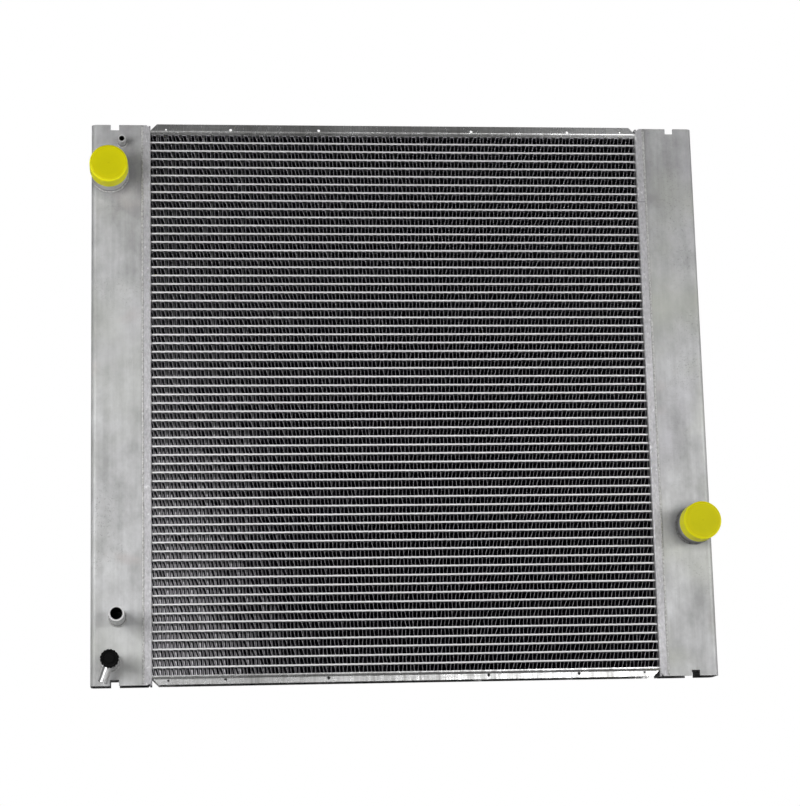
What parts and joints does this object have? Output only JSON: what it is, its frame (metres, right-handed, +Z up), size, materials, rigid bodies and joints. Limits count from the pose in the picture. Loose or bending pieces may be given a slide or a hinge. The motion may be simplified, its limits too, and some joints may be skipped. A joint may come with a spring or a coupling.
{
  "type": "hydraulic oil cooler",
  "caption": "Upright aluminium cross-flow oil cooler: finned tube core between two side tanks, with capped hose spigots, a small return spigot, a vent and a screw-down drain cock.",
  "frame": {"origin": "middle of the base of the whole object's box, on the plane of the tank bottoms", "axes": "+X right along the tubes, +Y from the port side to the back through the core's thin depth, +Z up along the tanks"},
  "size_m": [0.662, 0.082, 0.6054],
  "materials": {
    "tank_aluminium": "mill finish, lightly scuffed",
    "header_aluminium": "brazed sheet, dull",
    "tube_aluminium": "brazed extrusion, dull",
    "fin_aluminium": "thin brazed foil, dull",
    "plate_aluminium": "brazed sheet, streaky",
    "spigot_aluminium": "turned, bright",
    "weld_aluminium": "weld bead, rippled",
    "drain_metal": "plated, bright",
    "spindle_metal": "turned",
    "knob_plastic": "moulded black plastic",
    "seal_rubber": "black rubber",
    "cap_plastic": "soft translucent yellow plastic"
  },
  "bodies": {
    "cooler": {"left_tank": "tank_aluminium", "left_header": "header_aluminium", "left_bottom_end_plate": "tank_aluminium", "left_top_end_plate": "tank_aluminium", "right_tank": "tank_aluminium", "right_header": "header_aluminium", "right_bottom_end_plate": "tank_aluminium", "right_top_end_plate": "tank_aluminium", "tube_bank_1": "tube_aluminium", "fin_bank_1": "fin_aluminium", "tube_bank_2": "tube_aluminium", "fin_bank_2": "fin_aluminium", "tube_bank_3": "tube_aluminium", "fin_bank_3": "fin_aluminium", "tube_bank_4": "tube_aluminium", "fin_bank_4": "fin_aluminium", "tube_bank_5": "tube_aluminium", "fin_bank_5": "fin_aluminium", "tube_bank_6": "tube_aluminium", "fin_bank_6": "fin_aluminium", "top_end_sheet": "plate_aluminium", "top_side_plate": "plate_aluminium", "bottom_end_sheet": "plate_aluminium", "bottom_side_plate": "plate_aluminium", "inlet_spigot": "spigot_aluminium", "inlet_weld": "weld_aluminium", "outlet_spigot": "spigot_aluminium", "outlet_weld": "weld_aluminium", "vent_spigot": "spigot_aluminium", "vent_weld": "weld_aluminium", "return_spigot": "spigot_aluminium", "return_weld": "weld_aluminium", "drain_bung": "spigot_aluminium", "drain_weld": "weld_aluminium", "drain_boss": "drain_metal", "drain_spout": "drain_metal"},
    "inlet_cap": {"inlet_cap": "cap_plastic"},
    "outlet_cap": {"outlet_cap": "cap_plastic"},
    "drain_spindle": {"drain_spindle": "spindle_metal", "drain_seal": "seal_rubber"},
    "drain_knob": {"drain_knob": "knob_plastic"}
  },
  "joints": [
    {"name": "inlet_cap_slide", "type": "slide", "parent": "cooler", "child": "inlet_cap", "axis": [0, -1, 0], "range_m": [0, 0.06]},
    {"name": "outlet_cap_slide", "type": "slide", "parent": "cooler", "child": "outlet_cap", "axis": [0, -1, 0], "range_m": [0, 0.06]},
    {"name": "drain_spindle_slide", "type": "slide", "parent": "cooler", "child": "drain_spindle", "axis": [0, -1, 0], "range_m": [0, 0.006]},
    {"name": "drain_knob_turn", "type": "hinge", "parent": "drain_spindle", "child": "drain_knob", "pos_m": [-0.309, -0.035, 0.0247], "axis": [0, -1, 0], "range_deg": [0, 1440]}
  ],
  "couplings": [
    {"joint": "drain_knob_turn", "follows": "drain_spindle_slide", "rad_per_m": 4188.8}
  ]
}
